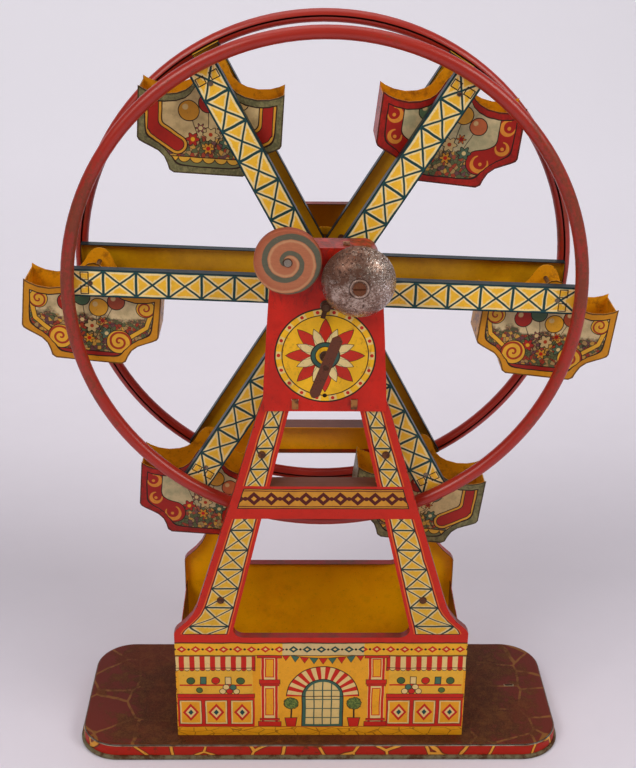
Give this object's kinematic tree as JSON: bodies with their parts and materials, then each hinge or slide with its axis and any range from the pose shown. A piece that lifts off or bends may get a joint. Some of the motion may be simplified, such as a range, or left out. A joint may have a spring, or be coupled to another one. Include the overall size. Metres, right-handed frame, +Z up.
{
  "type": "wind-up tin ferris wheel",
  "caption": "Wind-up tinplate ferris wheel toy with hanging gondolas, bell, spinning disc and key, on a booth box and base tray.",
  "frame": {"origin": "bottom centre of the whole toy's envelope, on the surface that the tray stands on", "axes": "+Z up, +X to the right as seen from the decorated front, front faces -Y, the wheel axle runs along Y"},
  "size_m": [0.319, 0.1146, 0.419],
  "materials": {
    "tray_tin": "printed tinplate, red skirt, rust-stained brown top",
    "tower_tin": "printed tinplate, red with cream and yellow lattice, ochre inside",
    "wall_tin": "printed tinplate, red outside, ochre inside",
    "cover_tin": "printed tinplate, red with a round yellow print",
    "bare_tin": "bare tinplate and steel, dulled",
    "clockwork_steel": "plain steel",
    "clockwork_brass": "plain brass, dulled",
    "bell_metal": "nickel plate, pitted and rusty",
    "ring_tin": "red enamel, rubbed",
    "spoke_tin": "printed tinplate, cream and yellow lattice with dark blue edges",
    "rusty_steel": "rusty brown steel",
    "disc_wood": "turned wood, painted salmon with a grey-blue spiral",
    "gondola_yellow": "printed tinplate, yellow with red scrolls",
    "gondola_green": "printed tinplate, grey-green with red and yellow",
    "gondola_red": "printed tinplate, red with yellow scrolls"
  },
  "bodies": {
    "frame": {"base_tray": "tray_tin", "tower_front": "tower_tin", "tower_rear": "tower_tin", "side_wall_left": "wall_tin", "side_wall_right": "wall_tin", "leg_rivets": "bare_tin", "head_cover": "cover_tin", "cover_tabs": "bare_tin", "motor_plate": "clockwork_steel", "motor_pillars": "clockwork_steel", "shaft_bushes": "clockwork_brass", "mainspring": "clockwork_steel", "bell": "bell_metal", "bell_fixings": "rusty_steel", "hammer_stud": "clockwork_steel"},
    "wheel": {"ring_front": "ring_tin", "ring_rear": "ring_tin", "spoke_front_1": "spoke_tin", "spoke_front_2": "spoke_tin", "spoke_front_3": "spoke_tin", "spoke_front_4": "spoke_tin", "spoke_front_5": "spoke_tin", "spoke_front_6": "spoke_tin", "spoke_rear_1": "spoke_tin", "spoke_rear_2": "spoke_tin", "spoke_rear_3": "spoke_tin", "spoke_rear_4": "spoke_tin", "spoke_rear_5": "spoke_tin", "spoke_rear_6": "spoke_tin", "hub_disc_front": "clockwork_steel", "hub_disc_rear": "clockwork_steel", "hub_rivets": "bare_tin", "axle": "clockwork_steel", "axle_tube": "clockwork_steel", "axle_collars": "clockwork_steel", "axle_pinion": "clockwork_steel", "axle_gear": "clockwork_brass", "trip_arm": "rusty_steel", "pivot_tabs": "bare_tin"},
    "great_wheel": {"great_wheel": "clockwork_brass", "clutch_coil": "clockwork_steel"},
    "winding_key": {"arbor": "clockwork_steel", "key": "rusty_steel"},
    "middle_gear": {"mid_arbor": "clockwork_steel", "mid_wheel": "clockwork_brass"},
    "spinner": {"disc_shaft": "clockwork_steel", "spinner_disc": "disc_wood"},
    "bell_hammer": {"hammer": "rusty_steel"},
    "pivot_rod_1": {"pivot_rod_1": "clockwork_steel"},
    "gondola_1": {"gondola_1": "gondola_yellow"},
    "pivot_rod_2": {"pivot_rod_2": "clockwork_steel"},
    "gondola_2": {"gondola_2": "gondola_red"},
    "pivot_rod_3": {"pivot_rod_3": "clockwork_steel"},
    "gondola_3": {"gondola_3": "gondola_green"},
    "pivot_rod_4": {"pivot_rod_4": "clockwork_steel"},
    "gondola_4": {"gondola_4": "gondola_yellow"},
    "pivot_rod_5": {"pivot_rod_5": "clockwork_steel"},
    "gondola_5": {"gondola_5": "gondola_red"},
    "pivot_rod_6": {"pivot_rod_6": "clockwork_steel"},
    "gondola_6": {"gondola_6": "gondola_green"}
  },
  "joints": [
    {"name": "wheel_spin", "type": "hinge", "parent": "frame", "child": "wheel", "pos_m": [0.00192, 0.00475, 0.282], "axis": [0, 1, 0], "continuous": true},
    {"name": "great_wheel_turn", "type": "hinge", "parent": "frame", "child": "great_wheel", "pos_m": [0.00192, 0.00475, 0.254], "axis": [0, 1, 0], "continuous": true},
    {"name": "key_wind", "type": "hinge", "parent": "great_wheel", "child": "winding_key", "pos_m": [0.00192, 0.00475, 0.254], "axis": [0, 1, 0], "range_deg": [0, 1800]},
    {"name": "middle_gear_turn", "type": "hinge", "parent": "frame", "child": "middle_gear", "pos_m": [-0.00851, 0.00475, 0.30193], "axis": [0, 1, 0], "continuous": true},
    {"name": "spinner_turn", "type": "hinge", "parent": "frame", "child": "spinner", "pos_m": [-0.01748, 0.00475, 0.3074], "axis": [0, 1, 0], "continuous": true},
    {"name": "hammer_swing", "type": "hinge", "parent": "frame", "child": "bell_hammer", "pos_m": [0.01192, 0.00475, 0.2865], "axis": [0, 1, 0], "range_deg": [-2.5, 10], "stiffness_Nm_per_rad": 0.002},
    {"name": "pivot_rod_1_turn", "type": "hinge", "parent": "wheel", "child": "pivot_rod_1", "pos_m": [0.12385, 0.00475, 0.27774], "axis": [0, 1, 0], "continuous": true},
    {"name": "gondola_1_swing", "type": "hinge", "parent": "pivot_rod_1", "child": "gondola_1", "pos_m": [0.12385, 0.00475, 0.27774], "axis": [0, 1, 0], "continuous": true},
    {"name": "pivot_rod_2_turn", "type": "hinge", "parent": "wheel", "child": "pivot_rod_2", "pos_m": [0.06657, 0.00475, 0.38546], "axis": [0, 1, 0], "continuous": true},
    {"name": "gondola_2_swing", "type": "hinge", "parent": "pivot_rod_2", "child": "gondola_2", "pos_m": [0.06657, 0.00475, 0.38546], "axis": [0, 1, 0], "continuous": true},
    {"name": "pivot_rod_3_turn", "type": "hinge", "parent": "wheel", "child": "pivot_rod_3", "pos_m": [-0.05536, 0.00475, 0.38972], "axis": [0, 1, 0], "continuous": true},
    {"name": "gondola_3_swing", "type": "hinge", "parent": "pivot_rod_3", "child": "gondola_3", "pos_m": [-0.05536, 0.00475, 0.38972], "axis": [0, 1, 0], "continuous": true},
    {"name": "pivot_rod_4_turn", "type": "hinge", "parent": "wheel", "child": "pivot_rod_4", "pos_m": [-0.12001, 0.00475, 0.28626], "axis": [0, 1, 0], "continuous": true},
    {"name": "gondola_4_swing", "type": "hinge", "parent": "pivot_rod_4", "child": "gondola_4", "pos_m": [-0.12001, 0.00475, 0.28626], "axis": [0, 1, 0], "continuous": true},
    {"name": "pivot_rod_5_turn", "type": "hinge", "parent": "wheel", "child": "pivot_rod_5", "pos_m": [-0.06273, 0.00475, 0.17854], "axis": [0, 1, 0], "continuous": true},
    {"name": "gondola_5_swing", "type": "hinge", "parent": "pivot_rod_5", "child": "gondola_5", "pos_m": [-0.06273, 0.00475, 0.17854], "axis": [0, 1, 0], "continuous": true},
    {"name": "pivot_rod_6_turn", "type": "hinge", "parent": "wheel", "child": "pivot_rod_6", "pos_m": [0.0592, 0.00475, 0.17428], "axis": [0, 1, 0], "continuous": true},
    {"name": "gondola_6_swing", "type": "hinge", "parent": "pivot_rod_6", "child": "gondola_6", "pos_m": [0.0592, 0.00475, 0.17428], "axis": [0, 1, 0], "continuous": true}
  ],
  "couplings": [
    {"joint": "great_wheel_turn", "follows": "wheel_spin", "ratio": -0.4},
    {"joint": "middle_gear_turn", "follows": "wheel_spin", "ratio": -4},
    {"joint": "spinner_turn", "follows": "wheel_spin", "ratio": 10},
    {"joint": "pivot_rod_1_turn", "follows": "wheel_spin", "ratio": -1},
    {"joint": "pivot_rod_2_turn", "follows": "wheel_spin", "ratio": -1},
    {"joint": "pivot_rod_3_turn", "follows": "wheel_spin", "ratio": -1},
    {"joint": "pivot_rod_4_turn", "follows": "wheel_spin", "ratio": -1},
    {"joint": "pivot_rod_5_turn", "follows": "wheel_spin", "ratio": -1},
    {"joint": "pivot_rod_6_turn", "follows": "wheel_spin", "ratio": -1}
  ]
}
